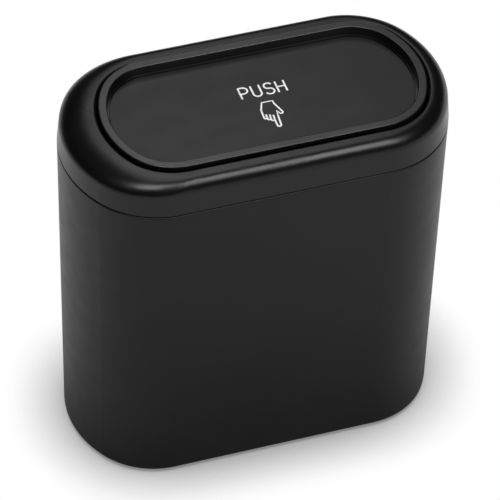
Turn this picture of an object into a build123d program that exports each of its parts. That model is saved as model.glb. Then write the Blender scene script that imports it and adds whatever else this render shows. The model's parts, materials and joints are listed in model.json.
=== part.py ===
from build123d import *

import os
from math import atan, atan2, cos, degrees, pi, sin, sqrt

os.makedirs("parts", exist_ok=True)

# Press-to-open car bin. Millimetres, +Z up, origin on the floor under the middle of the tub.
# X runs along the bin, -Y is the front, where the flap is pushed, and +Y is the hinge side.

# Overall sizes
bin_length = 160.0
bin_width = 84.8
bin_height = 163.2  # from the floor to the top of the flap's raised rim
bin_corner = 34.0
bin_end_radius = 50.0  # each end is bowed with this radius between its two corner rounds
lid_height = 16.0  # from the middle of the seam to the top of the raised rim
rim_stand = 1.2  # the raised rim stands this far above the lid's shoulder
seam_height = 0.8

# Clearances
slide_clearance = 0.4
turn_clearance = 0.3
side_clearance = 0.3
screw_clearance = 0.05

# Tub
tub_wall = 2.4
tub_floor = 2.4
tub_taper = 2.1  # the tub is this much narrower on every side at its foot
foot_radius = 2.0
floor_radius = 4.0
lip_radius = 0.6

# Foot pads
pad_diameter = 10.0
pad_height = 1.6
pad_pocket = 0.8
pad_chamfer = 0.3
pad_inset_x = 28.0  # from the end of the bin to the middle of a pad
pad_inset_y = 22.4

# Lid collar
shell = 2.2
shoulder_height = 6.5
shoulder_steps = 6
collar_taper = 0.7  # the collar is this much narrower on every side at its shoulder's foot
crown_end = 1.8  # width of the flat crown round the opening, at both ends
crown_side = 3.4  # and along both long sides
crown_corner = 29.0
crown_end_radius = 45.0
opening_radius = 1.2  # rounding of the opening's upper edge
band_end = 12.4  # from the bin's end to the opening
band_side = 9.2  # from the bin's long side to the opening
opening_shift = 3.6  # the opening sits this far towards the right-hand end
seal_setback = 0.3

# Flap
flap_gap = 0.9  # the groove between flap and collar
flap_corner = 23.0
flap_end_radius = 42.0
rim_width = 3.4
rim_height = 1.9
rim_wall = 1.0
rim_round = 0.4
recess = 4.3  # the plate lies this far below the rim
ledge_width = 0.6
panel_gap = 0.4
panel_thickness = 1.5
panel_chamfer = 0.15
clamp_reach = 2.6  # the rim's inner flange goes this far in under the panel
clamp_height = 0.8
tray_thickness = 1.6
rib_depth = 2.0
rib_thickness = 1.2

# Hinge
hinge_inset = 5.8  # from the bin's long side to the hinge axis
hinge_depth = 6.0  # from the lid's shoulder down to the hinge axis
pin_diameter = 2.2
pin_chamfer = 0.25
hub_radius = 2.5
arm_setback = 7.3  # from the end of the flap's straight side to the middle of an arm
arm_thickness = 4.0
arm_front = 2.2
arm_heel = 1.2
arm_bar = 2.6
arm_drop = 6.8  # the gooseneck passes this far under the hinge axis
arm_reach = 14.0  # and comes forward this far before it rises to the flap
arm_post = 3.0
arm_bevel = 1.2
cheek_thickness = 2.2

# Torsion springs
spring_wire = 0.6
spring_radius = 1.75
spring_half_turns = 11
spring_pitch = 1.12
spring_leg = 3.2  # the moving leg's straight part
spring_bend = 0.8
spring_hook = 1.8

# Lid deck
deck_lift = 0.2  # the deck lies this far above the collar's edge
deck_thickness = 2.0
skirt_gap = 0.5
skirt_wall = 1.2
skirt_depth = 9.0
chute_wall = 1.2
chute_gap = 0.2

# Screws
screw_diameter = 2.0
head_radius = 2.0
small_head_radius = 1.6
head_height = 1.1
head_round = 0.4
cross_length = 1.8
cross_width = 0.5
cross_depth = 0.6
boss_radius = 1.7
deck_screw_length = 7.5
thread_gap = 0.5  # left free beyond a screw's point

# Push-push latch
latch_inset = 6.0  # from the opening's front edge to the middle of the latch
jaw_outer = 5.1
jaw_inner = 3.9
hook_inner = 3.3
hook_height = 1.1
hook_bevel = 0.5
plunger_depth = 6.0
plunger_height = 16.5
plunger_stand = 0.3  # the jaws stand this far above the deck's underside
jaw_depth = 8.5
pocket_depth = 4.0
pocket_gap = 0.35
latch_room = 5.0  # free height under the plunger
latch_wall = 1.5
latch_corner = 1.0
cap_thickness = 1.5
spigot_height = 2.5
ear_thickness = 1.6
latch_screw_x = 11.2
ear_margin = 2.2
shelf_margin = 3.3
shelf_overhang = 5.5
shelf_boss_height = 1.0
mouth_gap = 0.3
latch_wire = 0.5
latch_coil_radius = 2.3
latch_half_turns = 14
coil_rest = 0.05

# Striker
striker_depth = 7.0
striker_thickness = 1.4
striker_margin = 2.5
striker_corner = 1.5
tongue_neck = 1.8
tongue_bulb = 3.0
bulb_height = 2.0
bulb_bevel = 0.8
bulb_gap = 0.2
tongue_thickness = 2.4

# Flap screws
cup_inset_x = 17.6  # from the end of the flap's well to the middle of a screw
cup_inset_y = 16.6
cup_depth = 4.0
cup_floor = 1.2
cup_wall = 1.2
panel_boss_radius = 2.3

# Heights that follow from the sizes above
crown_z = bin_height - rim_stand
seam_z = bin_height - lid_height
base_z = pad_height - pad_pocket
rim_z = seam_z - seam_height / 2
collar_z = seam_z + seam_height / 2
floor_z = base_z + tub_floor
tub_height = rim_z - base_z
draft = degrees(atan(tub_taper / tub_height))
shoulder_z = crown_z - shoulder_height
collar_draft = degrees(atan(collar_taper / (shoulder_z - collar_z)))
deck_z = collar_z + deck_lift
deck_top_z = deck_z + deck_thickness
ceiling_z = crown_z - shell
hinge_z = crown_z - hinge_depth
panel_z = bin_height - recess
tray_top_z = panel_z - panel_thickness
tray_z = tray_top_z - tray_thickness
cup_z = tray_top_z - cup_depth - cup_floor
striker_z = tray_z - striker_thickness
plunger_tip_z = deck_z + plunger_stand
plunger_foot_z = plunger_tip_z - plunger_height
latch_floor_z = plunger_foot_z - latch_room
bulb_z = plunger_tip_z - hook_height - bulb_gap


def corner_middle(length, width, corner, end_radius):
    """The middle of a corner round that touches a long side and the bowed end."""
    across = width / 2 - corner
    along = length / 2 - end_radius + sqrt((end_radius - corner) ** 2 - across**2)
    return along, across


# Outlines and places in plan
flap_length = bin_length - 2 * (band_end + flap_gap)
flap_width = bin_width - 2 * (band_side + flap_gap)
opening_y = flap_width / 2 + flap_gap
crown_length = flap_length + 2 * (flap_gap + crown_end)
crown_width = flap_width + 2 * (flap_gap + crown_side)
hinge_y = bin_width / 2 - hinge_inset
skirt_inset = tub_wall + skirt_gap
straight_x = corner_middle(flap_length, flap_width, flap_corner, flap_end_radius)[0]
arm_x = straight_x - arm_setback
latch_y = latch_inset - opening_y
latch_place = (opening_shift, latch_y)
cup_x = flap_length / 2 - rim_width - cup_inset_x
cup_y = flap_width / 2 - rim_width - cup_inset_y
striker_screw_x = jaw_outer + side_clearance + small_head_radius

# Along an arm, outwards from its middle: the two cheeks and the spring's bay between them
spring_length = spring_pitch * spring_half_turns / 2
outer_cheek = arm_thickness / 2 + side_clearance
inner_cheek = -arm_thickness / 2 - spring_length - spring_wire - 2 * side_clearance
pin_inner = inner_cheek - cheek_thickness
pin_outer = outer_cheek + cheek_thickness

# Screw places: six round the collar, halfway between the chute and the skirt
boss_y = (opening_y + chute_wall + bin_width / 2 - skirt_inset - skirt_wall) / 2
boss_x = (bin_length - band_end + chute_wall - skirt_inset - skirt_wall) / 2
back_boss_x = (arm_x + pin_inner) / 2
deck_screw_spots = [
    (opening_shift - arm_x, -boss_y),
    (opening_shift + arm_x, -boss_y),
    (opening_shift - back_boss_x, boss_y),
    (opening_shift + back_boss_x, boss_y),
    (opening_shift / 2 - boss_x, 0.0),
    (opening_shift / 2 + boss_x, 0.0),
]
cup_spots = [(opening_shift + i * cup_x, j * cup_y) for i in (-1, 1) for j in (-1, 1)]
latch_screw_spots = [(opening_shift + i * latch_screw_x, latch_y) for i in (-1, 1)]
striker_screw_spots = [(opening_shift + i * striker_screw_x, latch_y) for i in (-1, 1)]


def bowed_outline(middle_x, length, width, corner, end_radius, mode):
    """Straight long sides, round corners and bowed ends, each running smoothly into the next."""
    corner_x, corner_y = corner_middle(length, width, corner, end_radius)
    end_x = length / 2 - end_radius
    end_angle = degrees(atan2(corner_y, corner_x - end_x))
    with BuildLine() as outline:
        CenterArc((middle_x + end_x, 0), end_radius, -end_angle, 2 * end_angle)
        CenterArc((middle_x + corner_x, corner_y), corner, end_angle, 90 - end_angle)
        CenterArc((middle_x + corner_x, -corner_y), corner, -90, 90 - end_angle)
        mirror(about=Plane.YZ.offset(middle_x))
        for side_y in (-width / 2, width / 2):
            Line((middle_x - corner_x, side_y), (middle_x + corner_x, side_y))
    make_face(outline.edges(), mode=mode)


def bin_outline(inset, mode=Mode.ADD):
    """The bin's plan at the seam, drawn in by inset on every side."""
    length = bin_length - 2 * inset
    width = bin_width - 2 * inset
    bowed_outline(0, length, width, bin_corner - inset, bin_end_radius - inset, mode)


def flap_outline(inset, mode=Mode.ADD):
    """The flap's plan, drawn in by inset on every side, or let out where inset is negative."""
    length = flap_length - 2 * inset
    width = flap_width - 2 * inset
    corner = flap_corner - inset
    bowed_outline(opening_shift, length, width, corner, flap_end_radius - inset, mode)


def shoulder_outline(share, inset):
    """The collar's plan on its way from the shoulder's foot, share 0, to the crown, share 1."""
    foot = inset + collar_taper
    length = (1 - share) * (bin_length - 2 * foot) + share * crown_length
    width = (1 - share) * (bin_width - 2 * foot) + share * crown_width
    corner = (1 - share) * (bin_corner - foot) + share * crown_corner
    end_radius = (1 - share) * (bin_end_radius - foot) + share * crown_end_radius
    bowed_outline(share * opening_shift, length, width, corner, end_radius, Mode.ADD)


def collar_block(inset, top_z, mode):
    """The space inside the collar's outline drawn in by inset, rounded up to its crown at top_z."""
    with BuildPart(mode=Mode.PRIVATE) as block:
        with BuildSketch(Plane.XY.offset(collar_z)):
            bin_outline(inset)
        extrude(amount=shoulder_z - collar_z, taper=collar_draft)
        for step in range(shoulder_steps + 1):
            angle = pi / 2 * step / shoulder_steps
            with BuildSketch(Plane.XY.offset(shoulder_z + (top_z - shoulder_z) * sin(angle))):
                shoulder_outline(1 - cos(angle), inset)
        loft()
    add(block.part, mode=mode)


def discs(spots, radius, mode=Mode.ADD):
    """A circle at each of the places."""
    with Locations(*spots):
        Circle(radius, mode=mode)


def pan_head_screws(label, spots, seat_z, length, radius):
    """Screws alike, pointing up, whose heads bear against the plane at seat_z."""
    with BuildPart() as screws:
        with BuildSketch(Plane.XY.offset(seat_z - head_height)):
            discs(spots, radius)
        extrude(amount=head_height)
        with BuildSketch(Plane.XY.offset(seat_z)):
            discs(spots, screw_diameter / 2)
        extrude(amount=length)
        fillet(screws.faces().group_by(Axis.Z)[0].edges(), head_round)
        with BuildSketch(Plane.XY.offset(seat_z - head_height)):
            with Locations(*spots):
                Rectangle(cross_length, cross_width)
                Rectangle(cross_width, cross_length)
        extrude(amount=cross_depth, mode=Mode.SUBTRACT)
    screws.part.label = label
    export_step(screws.part, f"parts/{label}.step")


def half_turn(start, heading, end, end_heading):
    """Two arcs that leave start along heading and come to end along end_heading."""
    chord = end - start
    spread = 1 - heading.dot(end_heading)
    along = chord.dot(heading + end_heading)
    handle = (sqrt(along**2 + 2 * spread * chord.dot(chord)) - along) / (2 * spread)
    corner_in = start + heading * handle
    corner_out = end - end_heading * handle
    middle = (corner_in + corner_out) / 2
    TangentArc(start, middle, tangent=heading)
    TangentArc(middle, end, tangent=(corner_out - corner_in).normalized())


def least_gap(route, wire, turn_length):
    """The least free space between stretches of a wire that lie half a turn or more apart."""
    count = int(route.length / wire) * 2
    points = [tuple(route.position_at(i / count)) for i in range(count + 1)]
    apart = int(turn_length / 2 / route.length * count)
    nearest = min(
        sum((a - b) ** 2 for a, b in zip(p, q))
        for i, p in enumerate(points)
        for q in points[i + apart :]
    )
    return sqrt(nearest) - wire


# Tub: tapered alike outside and inside, with a rounded foot, floor and lip
with BuildPart() as bin_body:
    with BuildSketch(Plane.XY.offset(base_z)):
        bin_outline(tub_taper)
    extrude(amount=tub_height, taper=-draft)
    fillet(bin_body.faces().sort_by(Axis.Z)[0].edges(), foot_radius)
    floor_inset = tub_taper * (1 - tub_floor / tub_height) + tub_wall
    with BuildSketch(Plane.XY.offset(floor_z)):
        bin_outline(floor_inset)
    extrude(amount=tub_height - tub_floor, taper=-draft, mode=Mode.SUBTRACT)
    inner_floor = bin_body.faces().filter_by(Plane.XY).sort_by(Axis.Z)[1]
    fillet(inner_floor.edges(), floor_radius)
    fillet(bin_body.faces().sort_by(Axis.Z)[-1].edges(), lip_radius)
    pad_x = bin_length / 2 - pad_inset_x
    pad_y = bin_width / 2 - pad_inset_y
    with BuildSketch(Plane.XY.offset(base_z)):
        with GridLocations(2 * pad_x, 2 * pad_y, 2, 2):
            Circle(pad_diameter / 2 + side_clearance)
    extrude(amount=pad_pocket, mode=Mode.SUBTRACT)
bin_body.part.label = "bin_body"
export_step(bin_body.part, "parts/bin_body.step")

# Four soft pads let into the underside
pad_places = {
    "foot_pad_front_left": (-pad_x, -pad_y),
    "foot_pad_front_right": (pad_x, -pad_y),
    "foot_pad_back_left": (-pad_x, pad_y),
    "foot_pad_back_right": (pad_x, pad_y),
}
for pad_name, pad_place in pad_places.items():
    with BuildPart() as foot_pad:
        with BuildSketch(Plane.XY):
            discs([pad_place], pad_diameter / 2)
        extrude(amount=pad_height)
        chamfer(foot_pad.faces().sort_by(Axis.Z)[0].edges(), pad_chamfer)
    foot_pad.part.label = pad_name
    export_step(foot_pad.part, f"parts/{pad_name}.step")

# Collar: a shell with a full shoulder, the flap's opening and six screw bosses inside
with BuildPart() as lid_collar:
    collar_block(0, crown_z, Mode.ADD)
    collar_block(shell, ceiling_z, Mode.SUBTRACT)
    with BuildSketch(Plane.XY.offset(deck_top_z)):
        discs(deck_screw_spots, boss_radius)
    extrude(amount=ceiling_z + shell / 4 - deck_top_z)
    with BuildSketch(Plane.XY.offset(deck_top_z)):
        discs(deck_screw_spots, screw_diameter / 2 + screw_clearance)
    extrude(amount=deck_screw_length - deck_thickness + thread_gap, mode=Mode.SUBTRACT)
    with BuildSketch(Plane.XY.offset(ceiling_z - shell)):
        flap_outline(-flap_gap)
    extrude(amount=3 * shell, mode=Mode.SUBTRACT)
    crown = lid_collar.faces().sort_by(Axis.Z)[-1]
    fillet(crown.inner_wires()[0].edges(), opening_radius)
lid_collar.part.label = "lid_collar"
export_step(lid_collar.part, "parts/lid_collar.step")

# Soft seal on the tub's rim, under the collar's edge
with BuildPart() as rim_gasket:
    with BuildSketch(Plane.XY.offset(rim_z)):
        bin_outline(lip_radius + seal_setback)
        bin_outline(skirt_inset, mode=Mode.SUBTRACT)
    extrude(amount=seam_height)
rim_gasket.part.label = "rim_gasket"
export_step(rim_gasket.part, "parts/rim_gasket.step")

# Deck: plate with the latch's shelf, plug skirt, chute round the opening and hinge cheeks
shelf_y = latch_y + shelf_overhang
chute_y = opening_y + chute_wall
cheek_y = hinge_y + hub_radius
slot_y = hinge_y + arm_heel + slide_clearance
with BuildPart() as lid_deck:
    with BuildSketch(Plane.XY.offset(deck_z)):
        bin_outline(shell + slide_clearance)
        flap_outline(-flap_gap, mode=Mode.SUBTRACT)
        with Locations((opening_shift, (shelf_y - chute_y) / 2)):
            Rectangle(2 * (latch_screw_x + shelf_margin), shelf_y + chute_y)
    extrude(amount=deck_thickness)
    with BuildSketch(Plane.XY.offset(rim_z - skirt_depth)):
        bin_outline(skirt_inset)
        bin_outline(skirt_inset + skirt_wall, mode=Mode.SUBTRACT)
    extrude(amount=deck_z - rim_z + skirt_depth)
    with BuildSketch(Plane.XY.offset(deck_z)):
        flap_outline(-flap_gap - chute_wall)
        flap_outline(-flap_gap, mode=Mode.SUBTRACT)
    extrude(amount=ceiling_z - chute_gap - deck_z)
    with BuildSketch(Plane.XY.offset(deck_top_z)):
        discs(latch_screw_spots, boss_radius)
    extrude(amount=shelf_boss_height)
    with BuildSketch(Plane.XY.offset(deck_z)):
        discs(latch_screw_spots + deck_screw_spots, screw_diameter / 2 + screw_clearance)
        with Locations(latch_place):
            Rectangle(
                2 * (jaw_outer + slide_clearance + mouth_gap),
                plunger_depth + 2 * (slide_clearance + mouth_gap),
            )
    extrude(amount=deck_thickness + shelf_boss_height, mode=Mode.SUBTRACT)
    for side in (-1, 1):
        arm_plane = Plane.YZ.offset(opening_shift + side * arm_x)
        for near, far in ((outer_cheek, pin_outer), (pin_inner, inner_cheek)):
            with BuildSketch(arm_plane.offset(side * (near + far) / 2)):
                discs([(hinge_y, hinge_z)], hub_radius)
                with BuildLine():
                    Polyline(
                        (chute_y, deck_top_z),
                        (cheek_y, deck_top_z),
                        (cheek_y, hinge_z),
                        (chute_y, hinge_z),
                        close=True,
                    )
                make_face()
            extrude(amount=cheek_thickness / 2, both=True)
        with BuildSketch(arm_plane):
            discs([(hinge_y, hinge_z)], pin_diameter / 2 + screw_clearance)
        extrude(amount=-pin_inner, both=True, mode=Mode.SUBTRACT)
        with BuildSketch(Plane.XY.offset(deck_z)):
            with Locations((opening_shift + side * arm_x, (slot_y + opening_y - chute_wall) / 2)):
                Rectangle(2 * outer_cheek, slot_y - opening_y + chute_wall)
        extrude(amount=ceiling_z - deck_z, mode=Mode.SUBTRACT)
lid_deck.part.label = "lid_deck"
export_step(lid_deck.part, "parts/lid_deck.step")

# Hinge pins through both cheeks and the arm between them
for pin_name, side in (("hinge_pin_left", -1), ("hinge_pin_right", 1)):
    pin_middle = opening_shift + side * (arm_x + (pin_inner + pin_outer) / 2)
    with BuildPart() as hinge_pin:
        with BuildSketch(Plane.YZ.offset(pin_middle)):
            discs([(hinge_y, hinge_z)], pin_diameter / 2)
        extrude(amount=(pin_outer - pin_inner) / 2, both=True)
        chamfer(hinge_pin.edges().filter_by(GeomType.CIRCLE), pin_chamfer)
    hinge_pin.part.label = pin_name
    export_step(hinge_pin.part, f"parts/{pin_name}.step")

# Torsion spring on the right-hand pin, one unbroken wire. Its first leg stands on the deck
# in front of the pin. The other goes down behind the arm and hooks across it.
coil_start_x = opening_shift + arm_x + inner_cheek + side_clearance + spring_wire / 2
coil_slope = spring_pitch / (2 * pi * spring_radius)


def coil_point(index):
    """Where the wire is after that many half turns, and its heading there."""
    front = index % 2 == 0
    place = Vector(
        coil_start_x + index * spring_pitch / 2,
        hinge_y - spring_radius if front else hinge_y + spring_radius,
        hinge_z,
    )
    slope = coil_slope if 0 < index < spring_half_turns else 0
    return place, Vector(slope, 0, 1 if front else -1).normalized()


with BuildPart() as hinge_spring_right:
    with BuildLine() as hinge_wire:
        first, heading = coil_point(0)
        Line((first.X, first.Y, deck_top_z + coil_rest), first)
        for index in range(spring_half_turns):
            half_turn(*coil_point(index), *coil_point(index + 1))
        last, heading = coil_point(spring_half_turns)
        knee = last + heading * spring_leg
        toe = knee + heading * spring_bend + Vector(spring_bend, 0, 0)
        Line(last, knee)
        TangentArc(knee, toe, tangent=heading)
        Line(toe, toe + Vector(spring_hook, 0, 0))
    with BuildSketch(Plane(origin=hinge_wire.line @ 0, z_dir=hinge_wire.line % 0)):
        Circle(spring_wire / 2)
    sweep()
hinge_spring_right.part.label = "hinge_spring_right"
export_step(hinge_spring_right.part, "parts/hinge_spring_right.step")
hinge_gap = least_gap(hinge_wire.wire(), spring_wire, 2 * pi * spring_radius)
print(f"hinge spring: least gap to itself {hinge_gap:.2f} mm")

# The left-hand spring is its mirror image
with BuildPart() as hinge_spring_left:
    mirror(hinge_spring_right.part, about=Plane.YZ.offset(opening_shift))
hinge_spring_left.part.label = "hinge_spring_left"
export_step(hinge_spring_left.part, "parts/hinge_spring_left.step")

# Latch housing: a square tube with two ears, screwed up against the deck's shelf
cavity_x = 2 * (jaw_outer + slide_clearance)
cavity_y = plunger_depth + 2 * slide_clearance
housing_x = cavity_x + 2 * latch_wall
housing_y = cavity_y + 2 * latch_wall
with BuildPart() as latch_housing:
    with BuildSketch(Plane.XY.offset(latch_floor_z)):
        with Locations(latch_place):
            RectangleRounded(housing_x, housing_y, latch_corner)
    extrude(amount=deck_z - latch_floor_z)
    with BuildSketch(Plane.XY.offset(deck_z - ear_thickness)):
        with Locations(latch_place):
            RectangleRounded(2 * (latch_screw_x + ear_margin), housing_y, latch_corner)
    extrude(amount=ear_thickness)
    with BuildSketch(Plane.XY.offset(latch_floor_z)):
        with Locations(latch_place):
            Rectangle(cavity_x, cavity_y)
    extrude(amount=deck_z - latch_floor_z, mode=Mode.SUBTRACT)
    with BuildSketch(Plane.XY.offset(deck_z - ear_thickness)):
        discs(latch_screw_spots, screw_diameter / 2 + screw_clearance)
    extrude(amount=ear_thickness, mode=Mode.SUBTRACT)
latch_housing.part.label = "latch_housing"
export_step(latch_housing.part, "parts/latch_housing.step")

# Cap that closes the housing and keeps the spring in place with a spigot
with BuildPart() as latch_cap:
    with BuildSketch(Plane.XY.offset(latch_floor_z - cap_thickness)):
        with Locations(latch_place):
            RectangleRounded(housing_x, housing_y, latch_corner)
    extrude(amount=cap_thickness)
    with BuildSketch(Plane.XY.offset(latch_floor_z)):
        discs([latch_place], latch_coil_radius - latch_wire / 2 - pocket_gap)
    extrude(amount=spigot_height)
latch_cap.part.label = "latch_cap"
export_step(latch_cap.part, "parts/latch_cap.step")

# Plunger: a block with two hooked jaws that stand on both sides of the striker's tongue.
# The profile is drawn on the plane through the latch's middle, seen from the front.
latch_plane = Plane(origin=(opening_shift, latch_y, 0), x_dir=(1, 0, 0), z_dir=(0, -1, 0))
with BuildPart() as latch_plunger:
    with BuildSketch(latch_plane):
        with BuildLine():
            Polyline(
                (0, plunger_foot_z),
                (jaw_outer, plunger_foot_z),
                (jaw_outer, plunger_tip_z),
                (hook_inner + hook_bevel, plunger_tip_z),
                (hook_inner, plunger_tip_z - hook_bevel),
                (hook_inner, plunger_tip_z - hook_height),
                (jaw_inner, plunger_tip_z - 2 * hook_height),
                (jaw_inner, plunger_tip_z - jaw_depth),
                (0, plunger_tip_z - jaw_depth),
                close=True,
            )
        make_face()
        mirror(about=Plane.YZ)
    extrude(amount=plunger_depth / 2, both=True)
    with BuildSketch(Plane.XY.offset(plunger_foot_z)):
        discs([latch_place], latch_coil_radius + latch_wire / 2 + pocket_gap)
    extrude(amount=pocket_depth, mode=Mode.SUBTRACT)
latch_plunger.part.label = "latch_plunger"
export_step(latch_plunger.part, "parts/latch_plunger.step")

# Latch spring between the cap and the roof of the plunger's pocket, one unbroken wire
latch_coil_z = latch_floor_z + coil_rest + latch_wire / 2
latch_coil_height = latch_room + pocket_depth - 2 * coil_rest - latch_wire
latch_slope = latch_coil_height / (latch_half_turns * pi * latch_coil_radius)


def latch_coil_point(index):
    """Where the latch spring's wire is after that many half turns, and its heading there."""
    turn = 1 if index % 2 == 0 else -1
    place = Vector(
        opening_shift + turn * latch_coil_radius,
        latch_y,
        latch_coil_z + index * latch_coil_height / latch_half_turns,
    )
    slope = latch_slope if 0 < index < latch_half_turns else 0
    return place, Vector(0, turn, slope).normalized()


with BuildPart() as latch_spring:
    with BuildLine() as latch_coil:
        for index in range(latch_half_turns):
            half_turn(*latch_coil_point(index), *latch_coil_point(index + 1))
    with BuildSketch(Plane(origin=latch_coil.line @ 0, z_dir=latch_coil.line % 0)):
        Circle(latch_wire / 2)
    sweep()
latch_spring.part.label = "latch_spring"
export_step(latch_spring.part, "parts/latch_spring.step")
latch_gap = least_gap(latch_coil.wire(), latch_wire, 2 * pi * latch_coil_radius)
print(f"latch spring: least gap to itself {latch_gap:.2f} mm")

# Flap rim: flat-topped outer edge, inner wall, fine ledge and the flange under the panel
with BuildPart() as flap_rim:
    with BuildSketch(Plane.XY.offset(bin_height - rim_height)):
        flap_outline(0)
    extrude(amount=rim_height)
    with BuildSketch(Plane.XY.offset(tray_top_z)):
        flap_outline(rim_width - rim_wall)
    extrude(amount=bin_height - rim_height - tray_top_z)
    with BuildSketch(Plane.XY.offset(panel_z)):
        flap_outline(rim_width)
    extrude(amount=recess, mode=Mode.SUBTRACT)
    with BuildSketch(Plane.XY.offset(tray_top_z + clamp_height)):
        flap_outline(rim_width + ledge_width)
    extrude(amount=panel_thickness, mode=Mode.SUBTRACT)
    with BuildSketch(Plane.XY.offset(tray_top_z)):
        flap_outline(rim_width + clamp_reach)
    extrude(amount=clamp_height, mode=Mode.SUBTRACT)
    fillet(flap_rim.faces().sort_by(Axis.Z)[-1].edges(), rim_round)
flap_rim.part.label = "flap_rim"
export_step(flap_rim.part, "parts/flap_rim.step")

# Inlaid panel with four hollow bosses on its back
with BuildPart() as flap_panel:
    with BuildSketch(Plane.XY.offset(tray_top_z + clamp_height)):
        flap_outline(rim_width + ledge_width + panel_gap)
    extrude(amount=panel_thickness - clamp_height)
    chamfer(flap_panel.faces().sort_by(Axis.Z)[-1].edges(), panel_chamfer)
    with BuildSketch(Plane.XY.offset(tray_top_z)):
        flap_outline(rim_width + clamp_reach + side_clearance)
    extrude(amount=clamp_height)
    with BuildSketch(Plane.XY.offset(tray_top_z - cup_depth)):
        discs(cup_spots, panel_boss_radius)
    extrude(amount=cup_depth)
    with BuildSketch(Plane.XY.offset(tray_top_z - cup_depth)):
        discs(cup_spots, screw_diameter / 2 + screw_clearance)
    extrude(amount=cup_depth, mode=Mode.SUBTRACT)
flap_panel.part.label = "flap_panel"
export_step(flap_panel.part, "parts/flap_panel.step")

# Tray: floor under the panel, cups for the screws, stiffening ribs and two gooseneck arms
with BuildPart() as flap_tray:
    with BuildSketch(Plane.XY.offset(tray_z)):
        flap_outline(rim_width - rim_wall)
    extrude(amount=tray_thickness)
    with BuildSketch(Plane.XY.offset(cup_z)):
        discs(cup_spots, panel_boss_radius + side_clearance + cup_wall)
    extrude(amount=tray_z - cup_z)
    with BuildSketch(Plane.XY.offset(tray_z - rib_depth)):
        with Locations((opening_shift, cup_y), (opening_shift, -cup_y)):
            Rectangle(2 * cup_x, rib_thickness)
        with Locations((opening_shift - cup_x, 0), (opening_shift + cup_x, 0)):
            Rectangle(rib_thickness, 2 * cup_y)
    extrude(amount=rib_depth)
    with BuildSketch(Plane.XY.offset(cup_z + cup_floor)):
        discs(cup_spots, panel_boss_radius + side_clearance)
    extrude(amount=cup_depth, mode=Mode.SUBTRACT)
    with BuildSketch(Plane.XY.offset(cup_z)):
        discs(cup_spots, screw_diameter / 2 + screw_clearance)
    extrude(amount=cup_floor, mode=Mode.SUBTRACT)
    with BuildSketch(Plane.XY.offset(tray_z)):
        discs(striker_screw_spots, screw_diameter / 2 + screw_clearance)
    extrude(amount=tray_thickness, mode=Mode.SUBTRACT)
    for side in (-1, 1):
        with BuildSketch(Plane.YZ.offset(opening_shift + side * arm_x)):
            with BuildLine():
                Polyline(
                    (hinge_y - arm_front, hinge_z),
                    (hinge_y - arm_front, hinge_z - arm_drop + arm_bar),
                    (hinge_y - arm_reach + arm_post, hinge_z - arm_drop + arm_bar),
                    (hinge_y - arm_reach + arm_post, tray_z),
                    (hinge_y - arm_reach, tray_z),
                    (hinge_y - arm_reach, hinge_z - arm_drop + arm_bevel),
                    (hinge_y - arm_reach + arm_bevel, hinge_z - arm_drop),
                    (hinge_y + arm_heel - arm_bevel, hinge_z - arm_drop),
                    (hinge_y + arm_heel, hinge_z - arm_drop + arm_bevel),
                    (hinge_y + arm_heel, hinge_z),
                    close=True,
                )
            make_face()
            discs([(hinge_y, hinge_z)], hub_radius)
            discs([(hinge_y, hinge_z)], pin_diameter / 2 + turn_clearance, mode=Mode.SUBTRACT)
        extrude(amount=arm_thickness / 2, both=True)
flap_tray.part.label = "flap_tray"
export_step(flap_tray.part, "parts/flap_tray.step")

# Striker: a base plate under the tray and a tongue with a bulb that the jaws grip
with BuildPart() as latch_striker:
    with BuildSketch(Plane.XY.offset(striker_z)):
        with Locations(latch_place):
            RectangleRounded(
                2 * (striker_screw_x + striker_margin), striker_depth, striker_corner
            )
        discs(striker_screw_spots, screw_diameter / 2 + screw_clearance, mode=Mode.SUBTRACT)
    extrude(amount=striker_thickness)
    with BuildSketch(latch_plane):
        with BuildLine():
            Polyline(
                (0, striker_z),
                (tongue_neck, striker_z),
                (tongue_neck, bulb_z + tongue_bulb - tongue_neck),
                (tongue_bulb, bulb_z),
                (tongue_bulb, bulb_z - bulb_height + bulb_bevel),
                (tongue_bulb - bulb_bevel, bulb_z - bulb_height),
                (0, bulb_z - bulb_height),
                close=True,
            )
        make_face()
        mirror(about=Plane.YZ)
    extrude(amount=tongue_thickness / 2, both=True)
latch_striker.part.label = "latch_striker"
export_step(latch_striker.part, "parts/latch_striker.step")

# The screws: deck to collar, latch to shelf, tray to panel and striker to tray
pan_head_screws("deck_screws", deck_screw_spots, deck_z, deck_screw_length, small_head_radius)
latch_seat_z = deck_z - ear_thickness
latch_screw_length = ear_thickness + deck_thickness + shelf_boss_height - thread_gap
pan_head_screws(
    "latch_screws", latch_screw_spots, latch_seat_z, latch_screw_length, small_head_radius
)
pan_head_screws(
    "flap_screws", cup_spots, cup_z, cup_floor + cup_depth - thread_gap, head_radius
)
striker_screw_length = striker_thickness + tray_thickness - coil_rest
pan_head_screws(
    "striker_screws", striker_screw_spots, striker_z, striker_screw_length, small_head_radius
)
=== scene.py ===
import json
import logging
import math
from dataclasses import dataclass, field
from enum import Enum

import bpy
from mathutils import Matrix, Vector

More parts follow.
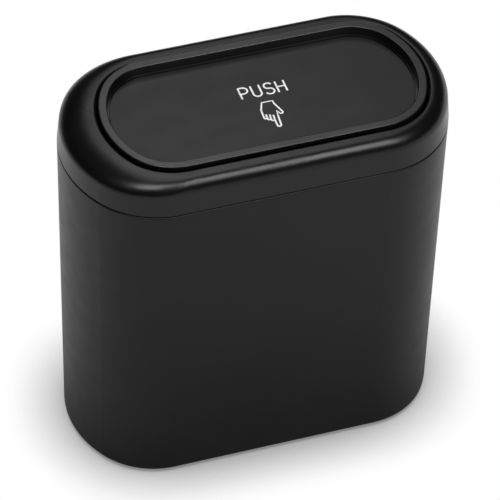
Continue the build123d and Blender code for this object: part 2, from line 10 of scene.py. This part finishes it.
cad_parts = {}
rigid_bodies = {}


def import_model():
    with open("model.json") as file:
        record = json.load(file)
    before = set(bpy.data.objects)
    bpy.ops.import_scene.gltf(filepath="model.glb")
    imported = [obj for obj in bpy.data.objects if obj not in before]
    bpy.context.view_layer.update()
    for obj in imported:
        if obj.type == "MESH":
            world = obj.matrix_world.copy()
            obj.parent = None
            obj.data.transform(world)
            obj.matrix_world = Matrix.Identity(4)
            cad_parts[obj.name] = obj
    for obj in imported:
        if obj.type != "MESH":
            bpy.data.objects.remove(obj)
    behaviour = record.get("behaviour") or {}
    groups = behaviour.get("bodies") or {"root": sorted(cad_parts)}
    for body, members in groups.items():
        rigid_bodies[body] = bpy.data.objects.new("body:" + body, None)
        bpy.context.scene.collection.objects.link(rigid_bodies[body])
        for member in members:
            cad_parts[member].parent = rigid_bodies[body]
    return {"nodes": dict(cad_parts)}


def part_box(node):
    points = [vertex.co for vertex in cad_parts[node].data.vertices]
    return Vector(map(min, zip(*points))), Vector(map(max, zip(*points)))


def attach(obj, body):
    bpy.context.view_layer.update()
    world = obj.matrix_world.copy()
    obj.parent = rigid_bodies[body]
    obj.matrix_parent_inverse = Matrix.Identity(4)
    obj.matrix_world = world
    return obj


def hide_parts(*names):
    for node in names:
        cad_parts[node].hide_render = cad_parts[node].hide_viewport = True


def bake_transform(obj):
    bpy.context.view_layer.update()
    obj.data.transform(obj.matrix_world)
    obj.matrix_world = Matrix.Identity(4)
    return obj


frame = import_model()

LOG = logging.getLogger("car_bin")
MM = 0.001
NOISE_WEAK = 0.3
NOISE_STRONG = 0.7
SMOOTH_ANGLE = math.radians(40)
Colour = tuple[float, float, float]
Place = tuple[float, float, float]
Line = list[tuple[float, float]]
Material = bpy.types.Material
Node = bpy.types.Node
Object = bpy.types.Object
Tree = bpy.types.NodeTree


@dataclass(frozen=True)
class Pattern:
    """A cloudy pattern: the size of its spots in mm, its finer octaves, its stretch per axis."""

    size: float
    octaves: float
    stretch: Place = (1.0, 1.0, 1.0)


class Grain(Enum):
    """How the surface of a moulding was finished in its mould: the grain and its depth in mm."""

    FINE = (Pattern(0.22, 2.0), 0.006)
    SATIN = (Pattern(0.35, 2.0), 0.010)


class Side(Enum):
    """The two ends of the bin."""

    LEFT = "left"
    RIGHT = "right"


def shader(name: str) -> tuple[Material, Node, Tree]:
    """Makes a material that holds one Principled shader.

    Args:
        name: The material's name.

    Returns:
        The material, its shader node and its node tree.
    """
    material = bpy.data.materials.new(name)
    material.use_nodes = True
    tree = material.node_tree
    return material, tree.nodes["Principled BSDF"], tree


def noise(tree: Tree, pattern: Pattern) -> Node:
    """Adds a cloudy pattern on object coordinates.

    Args:
        tree: The node tree that gets it.
        pattern: The pattern.

    Returns:
        The noise node.
    """
    place = tree.nodes.new("ShaderNodeTexCoord")
    mapping = tree.nodes.new("ShaderNodeMapping")
    mapping.inputs["Scale"].default_value = pattern.stretch
    texture = tree.nodes.new("ShaderNodeTexNoise")
    texture.inputs["Scale"].default_value = 1 / (pattern.size * MM)
    texture.inputs["Detail"].default_value = pattern.octaves
    tree.links.new(place.outputs["Object"], mapping.inputs["Vector"])
    tree.links.new(mapping.outputs["Vector"], texture.inputs["Vector"])
    return texture


def spread(tree: Tree, texture: Node, low: float, high: float) -> Node:
    """Maps a pattern's usual values onto a range of values.

    Args:
        tree: The node tree that holds the pattern.
        texture: The noise node.
        low: The value where the noise is weakest.
        high: The value where it is strongest.

    Returns:
        The Map Range node.
    """
    ranged = tree.nodes.new("ShaderNodeMapRange")
    ranged.inputs["From Min"].default_value = NOISE_WEAK
    ranged.inputs["From Max"].default_value = NOISE_STRONG
    ranged.inputs["To Min"].default_value = low
    ranged.inputs["To Max"].default_value = high
    tree.links.new(texture.outputs["Fac"], ranged.inputs["Value"])
    return ranged


def tint(tree: Tree, bsdf: Node, texture: Node, colour: Colour, low: float, high: float) -> None:
    """Lets the shader's colour vary in brightness with a pattern.

    Args:
        tree: The node tree that holds the pattern.
        bsdf: The shader node.
        texture: The noise node.
        colour: The colour at its plain brightness.
        low: Its brightness where the noise is weakest.
        high: Its brightness where the noise is strongest.
    """
    tone = spread(tree, texture, 0.0, 1.0)
    mix = tree.nodes.new("ShaderNodeMix")
    mix.data_type = "RGBA"
    mix.inputs["A"].default_value = (*(c * low for c in colour), 1)
    mix.inputs["B"].default_value = (*(c * high for c in colour), 1)
    tree.links.new(tone.outputs["Result"], mix.inputs["Factor"])
    tree.links.new(mix.outputs["Result"], bsdf.inputs["Base Color"])


def roughen(tree: Tree, bsdf: Node, texture: Node, middle: float, change: float) -> None:
    """Lets the shader's roughness vary with a pattern.

    Args:
        tree: The node tree that holds the pattern.
        bsdf: The shader node.
        texture: The noise node.
        middle: The middle roughness.
        change: How far the roughness goes up and down from there.
    """
    rough = spread(tree, texture, middle - change, middle + change)
    tree.links.new(rough.outputs["Result"], bsdf.inputs["Roughness"])


def bump(tree: Tree, texture: Node, depth_mm: float, below: Node | None = None) -> Node:
    """Turns a pattern into relief.

    Args:
        tree: The node tree that holds the pattern.
        texture: The noise node that gives the height.
        depth_mm: The relief's depth.
        below: A coarser bump that this one lies on.

    Returns:
        The bump node.
    """
    relief = tree.nodes.new("ShaderNodeBump")
    relief.inputs["Strength"].default_value = 1.0
    relief.inputs["Distance"].default_value = depth_mm * MM
    tree.links.new(texture.outputs["Fac"], relief.inputs["Height"])
    if below is not None:
        tree.links.new(below.outputs["Normal"], relief.inputs["Normal"])
    return relief


@dataclass(frozen=True)
class MouldedPlastic:
    """Injection-moulded plastic with an eroded grain, faint flow mottling and handling marks.

    The flow changes its brightness up and down by the share mottle, the marks change its roughness
    by rub, and the sinks are a slow wave in its surface, as deep in mm as sink_depth says.
    """

    name: str
    colour: Colour
    roughness: float
    grain: Grain
    specular: float = 0.5
    flow: Pattern = Pattern(38.0, 2.0)
    mottle: float = 0.1
    marks: Pattern = Pattern(9.0, 4.0, (0.6, 1.0, 1.6))
    rub: float = 0.03
    sinks: Pattern = Pattern(14.0, 1.0)
    sink_depth: float = 0.008

    def build(self) -> Material:
        """Builds the node material.

        Returns:
            The material.
        """
        material, bsdf, tree = shader(self.name)
        bsdf.inputs["Specular IOR Level"].default_value = self.specular
        flow = noise(tree, self.flow)
        tint(tree, bsdf, flow, self.colour, 1 - self.mottle, 1 + self.mottle)
        roughen(tree, bsdf, noise(tree, self.marks), self.roughness, self.rub)
        sinks = bump(tree, noise(tree, self.sinks), self.sink_depth)
        pattern, depth = self.grain.value
        relief = bump(tree, noise(tree, pattern), depth, below=sinks)
        tree.links.new(relief.outputs["Normal"], bsdf.inputs["Normal"])
        return material


@dataclass(frozen=True)
class SoftRubber:
    """Matt rubber or silicone with a faint bloom.

    Where the bloom is thickest, the colour is as many times brighter as paler says, and the
    roughness is higher by rub. The grain's depth is in mm.
    """

    name: str
    colour: Colour
    roughness: float = 0.8
    specular: float = 0.3
    bloom: Pattern = Pattern(3.0, 5.0)
    paler: float = 1.6
    rub: float = 0.08
    grain: Pattern = Pattern(0.25, 3.0)
    grain_depth: float = 0.02

    def build(self) -> Material:
        """Builds the node material.

        Returns:
            The material.
        """
        material, bsdf, tree = shader(self.name)
        bsdf.inputs["Specular IOR Level"].default_value = self.specular
        bloom = noise(tree, self.bloom)
        tint(tree, bsdf, bloom, self.colour, 1.0, self.paler)
        roughen(tree, bsdf, bloom, self.roughness, self.rub)
        relief = bump(tree, noise(tree, self.grain), self.grain_depth)
        tree.links.new(relief.outputs["Normal"], bsdf.inputs["Normal"])
        return material


@dataclass(frozen=True)
class PlatedSteel:
    """Drawn or headed steel with drawing marks and slightly uneven plating.

    Where the plating is thinnest, the colour is darkened to the share duller, and the roughness is
    lower by rub. The marks run along the bin, and their depth is in mm.
    """

    name: str
    colour: Colour
    roughness: float
    plating: Pattern = Pattern(1.2, 4.0)
    duller: float = 0.86
    rub: float = 0.07
    marks: Pattern = Pattern(0.1, 2.0, (0.15, 1.0, 1.0))
    mark_depth: float = 0.003

    def build(self) -> Material:
        """Builds the node material.

        Returns:
            The material.
        """
        material, bsdf, tree = shader(self.name)
        bsdf.inputs["Metallic"].default_value = 1.0
        plating = noise(tree, self.plating)
        tint(tree, bsdf, plating, self.colour, self.duller, 1.0)
        roughen(tree, bsdf, plating, self.roughness, self.rub)
        marks = bump(tree, noise(tree, self.marks), self.mark_depth)
        tree.links.new(marks.outputs["Normal"], bsdf.inputs["Normal"])
        return material


@dataclass(frozen=True)
class PadPrintInk:
    """White ink of a pad print: thin, dense, with a slightly uneven film.

    Where the film is thinnest, the colour is darkened to the share thinner, and the roughness is
    lower by rub. The grain's depth is in mm.
    """

    name: str
    colour: Colour
    roughness: float = 0.485
    specular: float = 0.35
    film: Pattern = Pattern(0.8, 4.0)
    thinner: float = 0.94
    rub: float = 0.065
    grain: Pattern = Pattern(0.15, 2.0)
    grain_depth: float = 0.004

    def build(self) -> Material:
        """Builds the node material.

        Returns:
            The material.
        """
        material, bsdf, tree = shader(self.name)
        bsdf.inputs["Specular IOR Level"].default_value = self.specular
        film = noise(tree, self.film)
        tint(tree, bsdf, film, self.colour, self.thinner, 1.0)
        roughen(tree, bsdf, film, self.roughness, self.rub)
        relief = bump(tree, noise(tree, self.grain), self.grain_depth)
        tree.links.new(relief.outputs["Normal"], bsdf.inputs["Normal"])
        return material


Finish = MouldedPlastic | SoftRubber | PlatedSteel


def dress(finish: Finish, *nodes: str) -> None:
    """Gives CAD nodes one finish through their own slots.

    Args:
        finish: The finish for all of them.
        *nodes: The nodes' names.
    """
    material = finish.build()
    for node in nodes:
        slots = frame["nodes"][node].data.materials
        if not slots:
            slots.append(material)
        for index in range(len(slots)):
            slots[index] = material
        LOG.info("%s wears %s", node, material.name)


@dataclass
class Tub:
    """The tub and the four pads that it stands on."""

    plastic: MouldedPlastic = MouldedPlastic(
        "tub_black", (0.008, 0.0081, 0.0083), roughness=0.40, grain=Grain.SATIN, specular=0.19
    )
    rubber: SoftRubber = SoftRubber("pad_rubber", (0.03, 0.03, 0.031))

    def build(self) -> None:
        """Dresses the tub and its pads."""
        dress(self.plastic, "bin_body")
        faces = ("front", "back")
        dress(self.rubber, *(f"foot_pad_{face}_{side.value}" for side in Side for face in faces))


@dataclass
class Lid:
    """The collar, the deck under it, the seal, and what they carry."""

    collar: MouldedPlastic = MouldedPlastic(
        "lid_black", (0.003, 0.0031, 0.0033), roughness=0.30, grain=Grain.SATIN, specular=0.30
    )
    inner: MouldedPlastic = MouldedPlastic(
        "inner_black", (0.012, 0.012, 0.0125), roughness=0.55, grain=Grain.FINE
    )
    latch: MouldedPlastic = MouldedPlastic(
        "latch_grey", (0.05, 0.051, 0.055), roughness=0.4, grain=Grain.FINE
    )
    seal: SoftRubber = SoftRubber(
        "seal_rubber", (0.0015, 0.0015, 0.0015), roughness=0.9, specular=0.05
    )
    screw: PlatedSteel = PlatedSteel("screw_zinc", (0.62, 0.63, 0.66), roughness=0.32)
    wire: PlatedSteel = PlatedSteel("spring_wire", (0.60, 0.60, 0.61), roughness=0.28)

    def build(self) -> None:
        """Dresses the lid's pieces."""
        dress(self.collar, "lid_collar")
        dress(self.inner, "lid_deck")
        dress(self.seal, "rim_gasket")
        dress(self.latch, "latch_housing", "latch_cap")
        dress(self.screw, "deck_screws", "latch_screws")
        parts = ("pin", "spring")
        dress(self.wire, *(f"hinge_{part}_{side.value}" for side in Side for part in parts))


@dataclass
class Latch:
    """The sliding part of the push latch and the spring under it."""

    merge_mm: float = 0.001
    acetal: MouldedPlastic = MouldedPlastic(
        "acetal_white", (0.72, 0.71, 0.68), roughness=0.36, grain=Grain.FINE
    )
    wire: PlatedSteel = PlatedSteel("latch_wire", (0.60, 0.60, 0.61), roughness=0.28)

    def coil(self) -> None:
        """Copies the spring into a loose piece with merged points and smooth shading, and hides
        the CAD one.
        """
        node = frame["nodes"]["latch_spring"]
        dress(self.wire, "latch_spring")
        bpy.ops.object.select_all(action="DESELECT")
        node.select_set(True)
        bpy.context.view_layer.objects.active = node
        bpy.ops.object.duplicate()
        coil = bpy.context.object
        coil.name = "latch_coil"
        bpy.ops.object.parent_clear(type="CLEAR_KEEP_TRANSFORM")
        bpy.ops.object.mode_set(mode="EDIT")
        bpy.ops.mesh.select_all(action="SELECT")
        bpy.ops.mesh.remove_doubles(threshold=self.merge_mm * MM)
        bpy.ops.object.mode_set(mode="OBJECT")
        bpy.ops.object.shade_smooth_by_angle(angle=SMOOTH_ANGLE)
        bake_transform(coil)
        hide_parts("latch_spring")
        LOG.info("latch_coil follows the plunger")

    def build(self) -> None:
        """Dresses the plunger and makes its spring."""
        dress(self.acetal, "latch_plunger")
        self.coil()


@dataclass
class FlapPrint:
    """The word and the pointing hand printed on the panel: flat strokes of even width.

    Sizes are in mm, and places are from the middle of the panel, x along the bin and y towards
    the hinge. The radius of the P's bowl is a share of the letters' height, and those of the S's
    two curves are shares of half the letters' width and of their height.
    """

    stroke: float = 0.76
    hand_stroke: float = 0.72
    stroke_rounding: int = 2
    film: float = 0.05
    film_sunk: float = 0.25
    arc_step: float = 12.0
    cap_height: float = 6.55
    letter_width: float = 3.45
    letter_step: float = 5.17
    bowl: float = 0.275
    curve_top: tuple[float, float] = (0.94, 0.245)
    curve_low: tuple[float, float] = (1.04, 0.265)
    curve_shift: float = 0.1
    word_start: Place = (-7.5, 3.2, 0.0)
    hand_place: Place = (1.46, -16.17, 0.0)
    ink: PadPrintInk = PadPrintInk("print_white", (0.74, 0.74, 0.74))

    def arc(self, x: float, y: float, rx: float, ry: float, start: float, end: float) -> Line:
        """Gives the points of an arc.

        Args:
            x: The middle, along the bin.
            y: The middle, across the bin.
            rx: The radius along the bin.
            ry: The radius across the bin.
            start: The first angle in degrees.
            end: The last angle in degrees.

        Returns:
            The points in order.
        """
        steps = max(2, round(abs(end - start) / self.arc_step))
        angles = [math.radians(start + (end - start) * i / steps) for i in range(steps + 1)]
        return [(x + rx * math.cos(a), y + ry * math.sin(a)) for a in angles]

    def letters(self) -> list[list[Line]]:
        """Draws the word's letters, each from its own lower left corner.

        Returns:
            For each letter, the centre lines of its strokes.
        """
        w = self.letter_width
        h = self.cap_height
        bowl = h * self.bowl
        bend = w / 2
        middle = bend + self.curve_shift
        top_x, top_y = bend * self.curve_top[0], h * self.curve_top[1]
        low_x, low_y = bend * self.curve_low[0], h * self.curve_low[1]
        stem = [(0.0, 0.0), (0.0, h)]
        round_p = self.arc(w - bowl, h - bowl, bowl, bowl, 90, -90)
        letter_p = [stem, [(0.0, h), *round_p, (0.0, h - 2 * bowl)]]
        letter_u = [[(0.0, h), *self.arc(bend, bend, bend, bend, 180, 360), (w, h)]]
        top = self.arc(middle, h - top_y, top_x, top_y, 25, 238)
        low = self.arc(middle, low_y, low_x, low_y, 60, -160)
        letter_h = [stem, [(w, 0.0), (w, h)], [(0.0, h / 2), (w, h / 2)]]
        return [letter_p, letter_u, [top + low], letter_h]

    def hand(self) -> list[Line]:
        """Draws a hand that points to the front, from its fingertip's place.

        Returns:
            The centre lines of its outline and of the two fingers inside it.
        """
        little = [*self.arc(-3.58, 6.35, 0.59, 0.58, 0, -180), (-4.17, 6.9), (-3.96, 11.0)]
        thumb = [(2.28, 13.6), (3.9, 8.6), *self.arc(3.28, 7.92, 0.8, 0.8, 10, -125), (1.92, 9.27)]
        tip = self.arc(0.31, 0.8, 0.78, 0.78, 0, -180)
        index = [(1.48, 5.2), *tip, (-0.4, 4.1), (-0.14, 7.06)]
        outline = [*little, (-2.32, 15.33), (2.22, 15.28), *thumb, *index]
        ring = [(-2.89, 8.13), *self.arc(-2.35, 5.45, 0.63, 0.63, 180, 360), (-1.43, 7.69)]
        middle = [(-1.72, 5.5), *self.arc(-1.05, 4.6, 0.63, 0.63, 180, 350)]
        return [outline, ring, middle]

    def line(self, name: str, points: Line, base: Vector, width: float) -> Object:
        """Lays one stroke of ink on the panel.

        Args:
            name: The stroke's name.
            points: Its centre line in millimetres.
            base: The place of the glyph's corner on the panel, in metres.
            width: The stroke's width in millimetres.

        Returns:
            The stroke as a mesh.
        """
        bpy.ops.curve.primitive_bezier_curve_add(location=(0, 0, 0))
        curve = bpy.context.object
        curve.name = name
        data = curve.data
        data.splines.clear()
        spline = data.splines.new("POLY")
        spline.points.add(len(points) - 1)
        for point, (x, y) in zip(spline.points, points):
            point.co = (base.x + x * MM, base.y + y * MM, 0, 1)
        data.bevel_depth = width * MM / 2
        data.bevel_resolution = self.stroke_rounding
        data.use_fill_caps = True
        bpy.ops.object.convert(target="MESH")
        bpy.ops.object.mode_set(mode="EDIT")
        bpy.ops.mesh.select_all(action="SELECT")
        bpy.ops.transform.resize(value=(1, 1, self.film / width), center_override=(0, 0, 0))
        bpy.ops.transform.translate(value=(0, 0, base.z))
        bpy.ops.object.mode_set(mode="OBJECT")
        return bpy.context.object

    def build(self) -> None:
        """Prints the word and the hand on the panel, each as one piece."""
        low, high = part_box("flap_panel")
        height = high[2] + (0.5 - self.film_sunk) * self.film * MM
        middle = Vector(((low[0] + high[0]) / 2, (low[1] + high[1]) / 2, height))
        ink = self.ink.build()
        word = []
        for index, letter in enumerate(self.letters()):
            corner = Vector(self.word_start) + Vector((index * self.letter_step, 0, 0))
            start = middle + corner * MM
            for number, points in enumerate(letter):
                word.append(self.line(f"letter_{index}_{number}", points, start, self.stroke))
        self.join(word, "print_word", ink)
        place = middle + Vector(self.hand_place) * MM
        hand = [
            self.line(f"hand_{number}", points, place, self.hand_stroke)
            for number, points in enumerate(self.hand())
        ]
        self.join(hand, "print_hand", ink)

    def join(self, lines: list[Object], name: str, ink: Material) -> None:
        """Makes one piece of several strokes.

        Args:
            lines: The strokes.
            name: The piece's name.
            ink: Its material.
        """
        bpy.ops.object.select_all(action="DESELECT")
        for stroke in lines:
            stroke.select_set(True)
        bpy.context.view_layer.objects.active = lines[0]
        bpy.ops.object.join()
        piece = bpy.context.object
        piece.name = name
        piece.data.materials.clear()
        piece.data.materials.append(ink)
        bpy.ops.object.shade_smooth_by_angle(angle=SMOOTH_ANGLE)
        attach(piece, "flap")
        LOG.info("%s printed on the panel", name)


@dataclass
class Flap:
    """The rim, the inlaid panel, the tray with its arms and what is fixed to them."""

    rim: MouldedPlastic = MouldedPlastic(
        "rim_black", (0.003, 0.0031, 0.0033), roughness=0.34, grain=Grain.FINE, specular=0.52
    )
    panel: MouldedPlastic = MouldedPlastic(
        "panel_black", (0.006, 0.0062, 0.0068), roughness=0.42, grain=Grain.FINE, specular=0.35
    )
    inner: MouldedPlastic = MouldedPlastic(
        "tray_black", (0.012, 0.012, 0.0125), roughness=0.55, grain=Grain.FINE
    )
    striker: MouldedPlastic = MouldedPlastic(
        "striker_grey", (0.05, 0.051, 0.055), roughness=0.4, grain=Grain.FINE
    )
    screw: PlatedSteel = PlatedSteel("flap_screw_zinc", (0.62, 0.63, 0.66), roughness=0.32)
    printed: FlapPrint = field(default_factory=FlapPrint)

    def build(self) -> None:
        """Dresses the flap's pieces and prints on the panel."""
        dress(self.rim, "flap_rim")
        dress(self.panel, "flap_panel")
        dress(self.inner, "flap_tray")
        dress(self.striker, "latch_striker")
        dress(self.screw, "flap_screws", "striker_screws")
        self.printed.build()


@dataclass
class Softbox:
    """A rectangular soft lamp that faces the bin.

    Its angles are in degrees, the azimuth from the hinge side and positive towards the right-hand
    end. Its distance and size are in metres, and radiance says how bright its face is.
    """

    name: str
    azimuth: float
    elevation: float
    distance: float
    size: tuple[float, float]
    radiance: float

    def build(self, aim: Vector) -> None:
        """Hangs the lamp in its direction from the aim and turns it to face it.

        Args:
            aim: The point that the lamp faces.
        """
        az = math.radians(self.azimuth)
        el = math.radians(self.elevation)
        away = Vector((math.sin(az) * math.cos(el), math.cos(az) * math.cos(el), math.sin(el)))
        bpy.ops.object.light_add(type="AREA")
        lamp = bpy.context.object
        lamp.name = self.name
        lamp.data.shape = "RECTANGLE"
        lamp.data.size = self.size[0]
        lamp.data.size_y = self.size[1]
        lamp.data.energy = self.radiance * math.pi * self.size[0] * self.size[1]
        lamp.visible_camera = False
        turn = away.to_track_quat("Z", "Y").to_matrix().to_4x4()
        lamp.matrix_world = Matrix.Translation(aim + away * self.distance) @ turn


@dataclass
class Studio:
    """The white table, the surroundings, the lamps and the camera.

    The camera's angles are in degrees, its azimuth from the front and negative towards the
    left-hand end. Lengths are in metres where the name doesn't say otherwise. The sky's strength
    rises from sky_low to sky_high between the height sky_start and straight up. The table is
    darkest where the share of open room falls to a start, and plain from shade_end on.
    """

    azimuth: float = -19.594
    elevation: float = 43.781
    roll: float = 1.957
    distance: float = 1.7305
    focal_px: float = 4208.0
    picture_px: float = 500.0
    target: Place = (-0.00044, -0.00201, 0.0795)
    sensor_mm: float = 36.0
    sight: tuple[float, float] = (0.01, 50.0)
    floor_size: float = 12.0
    floor_grey: float = 0.82
    sky_low: float = 0.06
    sky_high: float = 0.32
    sky_start: float = 0.25
    contact_reach: float = 0.03
    contact_start: float = 0.35
    contact_dark: float = 0.24
    shadow_reach: float = 0.4
    shadow_start: float = 0.66
    shadow_dark: float = 0.28
    shade_end: float = 0.95
    shade_samples: int = 16
    lamps: tuple[Softbox, ...] = (
        Softbox("lamp_front", 154, 54, distance=0.9, size=(0.30, 0.50), radiance=10.0),
        Softbox("lamp_back", 14, 64, distance=0.8, size=(0.30, 0.60), radiance=2.65),
        Softbox("lamp_left", 222, 66, distance=0.9, size=(0.32, 0.32), radiance=11.0),
    )

    def camera(self) -> None:
        """Stands the camera where the photograph was taken from."""
        az = math.radians(self.azimuth)
        el = math.radians(self.elevation)
        roll = math.radians(self.roll)
        back = Vector((math.sin(az) * math.cos(el), -math.cos(az) * math.cos(el), math.sin(el)))
        right = Vector((math.cos(az), math.sin(az), 0))
        up = back.cross(right)
        x_axis = right * math.cos(roll) + up * math.sin(roll)
        y_axis = up * math.cos(roll) - right * math.sin(roll)
        bpy.ops.object.camera_add()
        camera = bpy.context.object
        camera.name = "camera"
        turn = Matrix((x_axis, y_axis, back)).transposed().to_4x4()
        camera.matrix_world = Matrix.Translation(Vector(self.target) + back * self.distance) @ turn
        camera.data.sensor_width = self.sensor_mm
        camera.data.lens = self.focal_px / self.picture_px * self.sensor_mm
        camera.data.clip_start, camera.data.clip_end = self.sight
        bpy.context.scene.camera = camera

    def surroundings(self) -> None:
        """Fills the room with soft light, dim at the sides and brighter overhead."""
        world = bpy.data.worlds.new("room")
        bpy.context.scene.world = world
        world.use_nodes = True
        tree = world.node_tree
        light = tree.nodes["Background"]
        place = tree.nodes.new("ShaderNodeTexCoord")
        axes = tree.nodes.new("ShaderNodeSeparateXYZ")
        rise = tree.nodes.new("ShaderNodeMapRange")
        rise.interpolation_type = "SMOOTHSTEP"
        rise.inputs["From Min"].default_value = self.sky_start
        rise.inputs["From Max"].default_value = 1.0
        rise.inputs["To Min"].default_value = self.sky_low
        rise.inputs["To Max"].default_value = self.sky_high
        tree.links.new(place.outputs["Generated"], axes.inputs["Vector"])
        tree.links.new(axes.outputs["Z"], rise.inputs["Value"])
        tree.links.new(rise.outputs["Result"], light.inputs["Strength"])

    def seen(self, tree: Tree, path: Node) -> bpy.types.NodeSocket:
        """Finds whether a ray sees the table, straight or in a gloss or glass.

        Args:
            tree: The table's node tree.
            path: Its Light Path node.

        Returns:
            The output whose value is 1 for such a ray.
        """
        seen = path.outputs["Is Camera Ray"]
        for kind in ("Is Glossy Ray", "Is Transmission Ray"):
            either = tree.nodes.new("ShaderNodeMath")
            either.operation = "MAXIMUM"
            tree.links.new(seen, either.inputs[0])
            tree.links.new(path.outputs[kind], either.inputs[1])
            seen = either.outputs["Value"]
        return seen

    def shade(self, tree: Tree, reach: float, start: float, dark: float) -> Node:
        """Darkens the table where the bin hides the room from it.

        Args:
            tree: The table's node tree.
            reach: How far away from the bin its shadow begins, in metres.
            start: The share of open room at which the shadow becomes darkest.
            dark: The table's brightness there.

        Returns:
            The colour ramp that gives the table's brightness.
        """
        hidden = tree.nodes.new("ShaderNodeAmbientOcclusion")
        hidden.samples = self.shade_samples
        hidden.inputs["Distance"].default_value = reach
        ramp = tree.nodes.new("ShaderNodeValToRGB")
        darkest, open_table = ramp.color_ramp.elements
        darkest.position = start
        darkest.color = (dark, dark, dark, 1)
        open_table.position = self.shade_end
        open_table.color = (1, 1, 1, 1)
        tree.links.new(hidden.outputs["AO"], ramp.inputs["Fac"])
        return ramp

    def floor(self) -> None:
        """Lays the white table, which the camera sees as white with a soft contact shadow."""
        bpy.ops.mesh.primitive_plane_add(size=self.floor_size, location=(0, 0, 0))
        floor = bpy.context.object
        floor.name = "floor"
        material = bpy.data.materials.new("white_table")
        material.use_nodes = True
        tree = material.node_tree
        tree.nodes.clear()
        path = tree.nodes.new("ShaderNodeLightPath")
        paint = tree.nodes.new("ShaderNodeBsdfDiffuse")
        paint.inputs["Color"].default_value = (*(self.floor_grey,) * 3, 1)
        contact = self.shade(tree, self.contact_reach, self.contact_start, self.contact_dark)
        shadow = self.shade(tree, self.shadow_reach, self.shadow_start, self.shadow_dark)
        view = tree.nodes.new("ShaderNodeMix")
        view.data_type = "RGBA"
        glow = tree.nodes.new("ShaderNodeEmission")
        mix = tree.nodes.new("ShaderNodeMixShader")
        out = tree.nodes.new("ShaderNodeOutputMaterial")
        tree.links.new(path.outputs["Is Glossy Ray"], view.inputs["Factor"])
        tree.links.new(contact.outputs["Color"], view.inputs["A"])
        tree.links.new(shadow.outputs["Color"], view.inputs["B"])
        tree.links.new(view.outputs["Result"], glow.inputs["Color"])
        tree.links.new(self.seen(tree, path), mix.inputs["Fac"])
        tree.links.new(paint.outputs["BSDF"], mix.inputs[1])
        tree.links.new(glow.outputs["Emission"], mix.inputs[2])
        tree.links.new(mix.outputs["Shader"], out.inputs["Surface"])
        floor.data.materials.append(material)

    def build(self) -> None:
        """Sets the table, the light and the camera."""
        bpy.context.scene.view_settings.view_transform = "Standard"
        self.surroundings()
        self.floor()
        aim = Vector(self.target)
        for lamp in self.lamps:
            lamp.build(aim)
        self.camera()


def main() -> None:
    """Dresses the bin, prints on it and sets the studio."""
    logging.basicConfig(level=logging.INFO, format="%(name)s: %(message)s")
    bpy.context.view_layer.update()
    bpy.ops.object.select_all(action="DESELECT")
    for part in (Tub(), Lid(), Latch(), Flap()):
        part.build()
        LOG.info("%s built", type(part).__name__)
    Studio().build()


if __name__ == "__main__":
    main()
